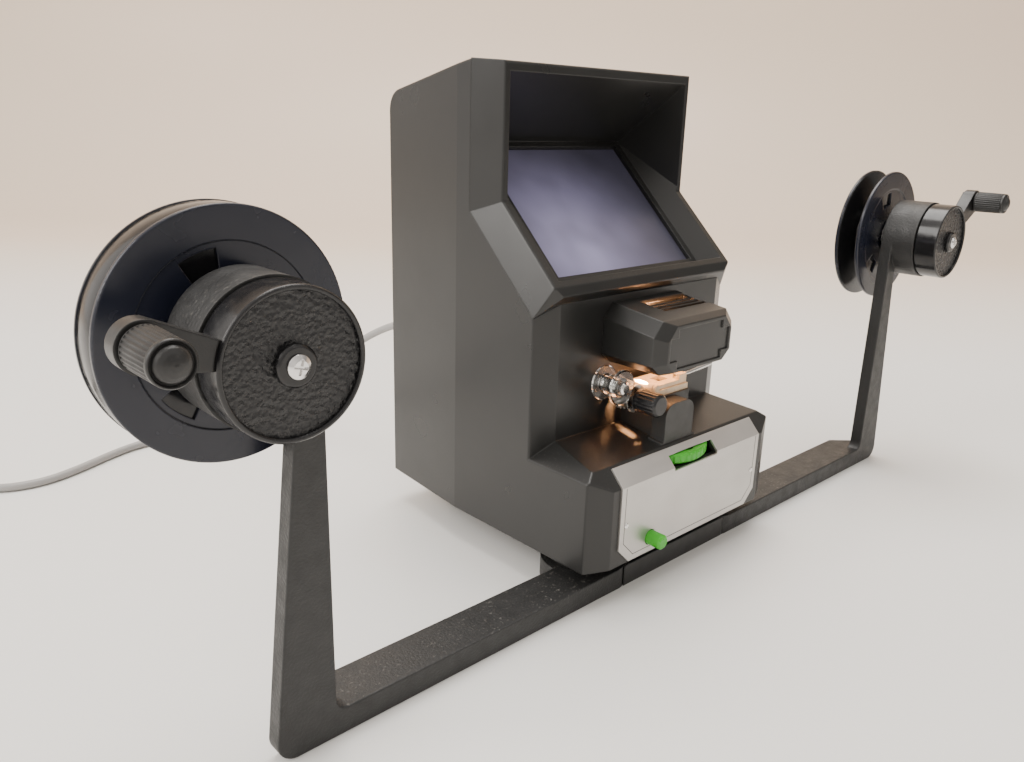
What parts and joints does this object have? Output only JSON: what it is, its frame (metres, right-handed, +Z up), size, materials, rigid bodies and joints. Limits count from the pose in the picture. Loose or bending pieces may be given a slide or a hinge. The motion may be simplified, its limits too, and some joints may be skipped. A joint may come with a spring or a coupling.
{
  "type": "film editor viewer",
  "caption": "Tabletop editor for narrow cine film: hooded slanted screen, lamp and film gate, and two swing-out arms with crank-driven reels.",
  "frame": {"origin": "on the table, under the middle of the front edge of the bar between the arms", "axes": "+X to the right along the two arms, +Y away from the user, +Z up"},
  "size_m": [0.6196, 0.3703, 0.226],
  "materials": {
    "black_enamel": "fine-grained satin black enamel",
    "black_crackle": "coarse black texture paint",
    "black_gloss": "moulded gloss black",
    "black_satin": "satin black moulding",
    "plate_silver": "satin silver plate",
    "reel_plastic": "blue-black moulding",
    "screen_frost": "frosted viewing screen",
    "green_plastic": "green moulding",
    "bright_steel": "bright nickel plating",
    "grey_steel": "turned steel",
    "cream_plastic": "cream moulding",
    "grey_cast": "grey lacquered casting",
    "clear_acrylic": "clear moulding",
    "optical_glass": "clear ground glass",
    "mirror_glass": "silvered glass",
    "lamp_glass": "clear lamp bulb",
    "brass": "plain brass",
    "gear_nylon": "ivory nylon",
    "foot_rubber": "plain black rubber",
    "cord_grey": "grey insulated cord",
    "plug_grey": "grey moulded plug",
    "copper_core": "varnished core plates and tape"
  },
  "bodies": {
    "viewer": {"casing": "black_enamel", "screen_hood": "black_enamel", "viewing_screen": "screen_frost", "rear_cover": "black_enamel", "bottom_plate": "black_enamel", "cover_screws": "grey_steel", "name_plate": "plate_silver", "plate_pins": "bright_steel", "centre_bar": "black_satin", "rear_feet": "foot_rubber", "projection_mirror": "mirror_glass", "lower_mirror": "mirror_glass", "lens_mount": "grey_cast", "lamp_switch": "black_satin", "transformer": "copper_core", "lamp_housing": "black_enamel", "condenser_lens": "optical_glass", "lamp_socket": "brass", "lamp_bulb": "lamp_glass", "gate_block": "grey_cast", "film_gate": "cream_plastic", "roller_shaft": "bright_steel", "pivot_screws": "grey_steel", "strain_relief": "plug_grey", "cord_tube": "cord_grey", "cord_coil": "cord_grey", "plug": "plug_grey"},
    "focus_wheel": {"focus_wheel": "green_plastic"},
    "lens": {"lens_barrel": "black_satin", "lens_glass": "optical_glass"},
    "switch_button": {"switch_button": "green_plastic"},
    "sprocket": {"film_sprocket": "grey_steel", "sprocket_knob": "black_gloss", "sprocket_gear": "gear_nylon"},
    "prism": {"prism": "optical_glass", "prism_gear": "gear_nylon"},
    "guide_roller": {"guide_roller": "clear_acrylic"},
    "pressure_plate": {"pressure_plate": "cream_plastic", "gate_lever": "bright_steel"},
    "arm_left": {"arm_left": "black_crackle", "arm_bush_left": "brass"},
    "crank_left": {"spindle_left": "grey_steel", "crank_drum_left": "black_gloss", "drum_face_left": "black_crackle", "drum_screw_left": "bright_steel", "crank_lever_left": "black_satin"},
    "grip_left": {"grip_left": "black_satin"},
    "reel_left": {"reel_core_left": "reel_plastic", "reel_flange_left": "reel_plastic"},
    "arm_right": {"arm_right": "black_crackle", "arm_bush_right": "brass"},
    "crank_right": {"spindle_right": "grey_steel", "crank_drum_right": "black_gloss", "drum_face_right": "black_crackle", "drum_screw_right": "bright_steel", "crank_lever_right": "black_satin"},
    "grip_right": {"grip_right": "black_satin"},
    "reel_right": {"reel_core_right": "reel_plastic", "reel_flange_right": "reel_plastic"}
  },
  "joints": [
    {"name": "arm_left_swing", "type": "hinge", "parent": "viewer", "child": "arm_left", "pos_m": [-0.045, 0.02, 0.005], "axis": [0, 0, -1], "range_deg": [0, 90]},
    {"name": "crank_left_turn", "type": "hinge", "parent": "arm_left", "child": "crank_left", "pos_m": [-0.21, 0, 0.1405], "axis": [0, 1, 0], "continuous": true},
    {"name": "grip_left_turn", "type": "hinge", "parent": "crank_left", "child": "grip_left", "pos_m": [-0.24658, -0.03, 0.15078], "axis": [0, 1, 0], "continuous": true},
    {"name": "reel_left_lift_off", "type": "slide", "parent": "crank_left", "child": "reel_left", "axis": [0, 1, 0], "range_m": [0, 0.03]},
    {"name": "arm_right_swing", "type": "hinge", "parent": "viewer", "child": "arm_right", "pos_m": [0.045, 0.02, 0.005], "axis": [0, 0, 1], "range_deg": [0, 90]},
    {"name": "crank_right_turn", "type": "hinge", "parent": "arm_right", "child": "crank_right", "pos_m": [0.21, 0, 0.1405], "axis": [0, 1, 0], "continuous": true},
    {"name": "grip_right_turn", "type": "hinge", "parent": "crank_right", "child": "grip_right", "pos_m": [0.24113, -0.03, 0.1623], "axis": [0, 1, 0], "continuous": true},
    {"name": "reel_right_lift_off", "type": "slide", "parent": "crank_right", "child": "reel_right", "axis": [0, 1, 0], "range_m": [0, 0.03]},
    {"name": "focus_wheel_turn", "type": "hinge", "parent": "viewer", "child": "focus_wheel", "pos_m": [0, 0.02, 0.055], "axis": [0, 0, 1], "range_deg": [-120, 120]},
    {"name": "lens_travel", "type": "slide", "parent": "viewer", "child": "lens", "axis": [0, 0, 1], "range_m": [-0.0016, 0.0016]},
    {"name": "switch_push", "type": "slide", "parent": "viewer", "child": "switch_button", "axis": [0, 1, 0], "range_m": [0, 0.003], "stiffness_N_per_m": 600, "springref_m": -0.001},
    {"name": "sprocket_turn", "type": "hinge", "parent": "viewer", "child": "sprocket", "pos_m": [-0.0205, 0.019, 0.0823], "axis": [0, 1, 0], "continuous": true},
    {"name": "prism_turn", "type": "hinge", "parent": "viewer", "child": "prism", "pos_m": [0, 0.019, 0.073], "axis": [0, 1, 0], "continuous": true},
    {"name": "guide_roller_turn", "type": "hinge", "parent": "viewer", "child": "guide_roller", "pos_m": [-0.0325, 0.0195, 0.09], "axis": [0, 1, 0], "continuous": true},
    {"name": "pressure_plate_lift", "type": "hinge", "parent": "viewer", "child": "pressure_plate", "pos_m": [-0.0108, 0.019, 0.0862], "axis": [0, -1, 0], "range_deg": [0, 8]}
  ],
  "couplings": [
    {"joint": "lens_travel", "follows": "focus_wheel_turn", "m_per_rad": 0.0007},
    {"joint": "prism_turn", "follows": "sprocket_turn", "ratio": -1}
  ]
}
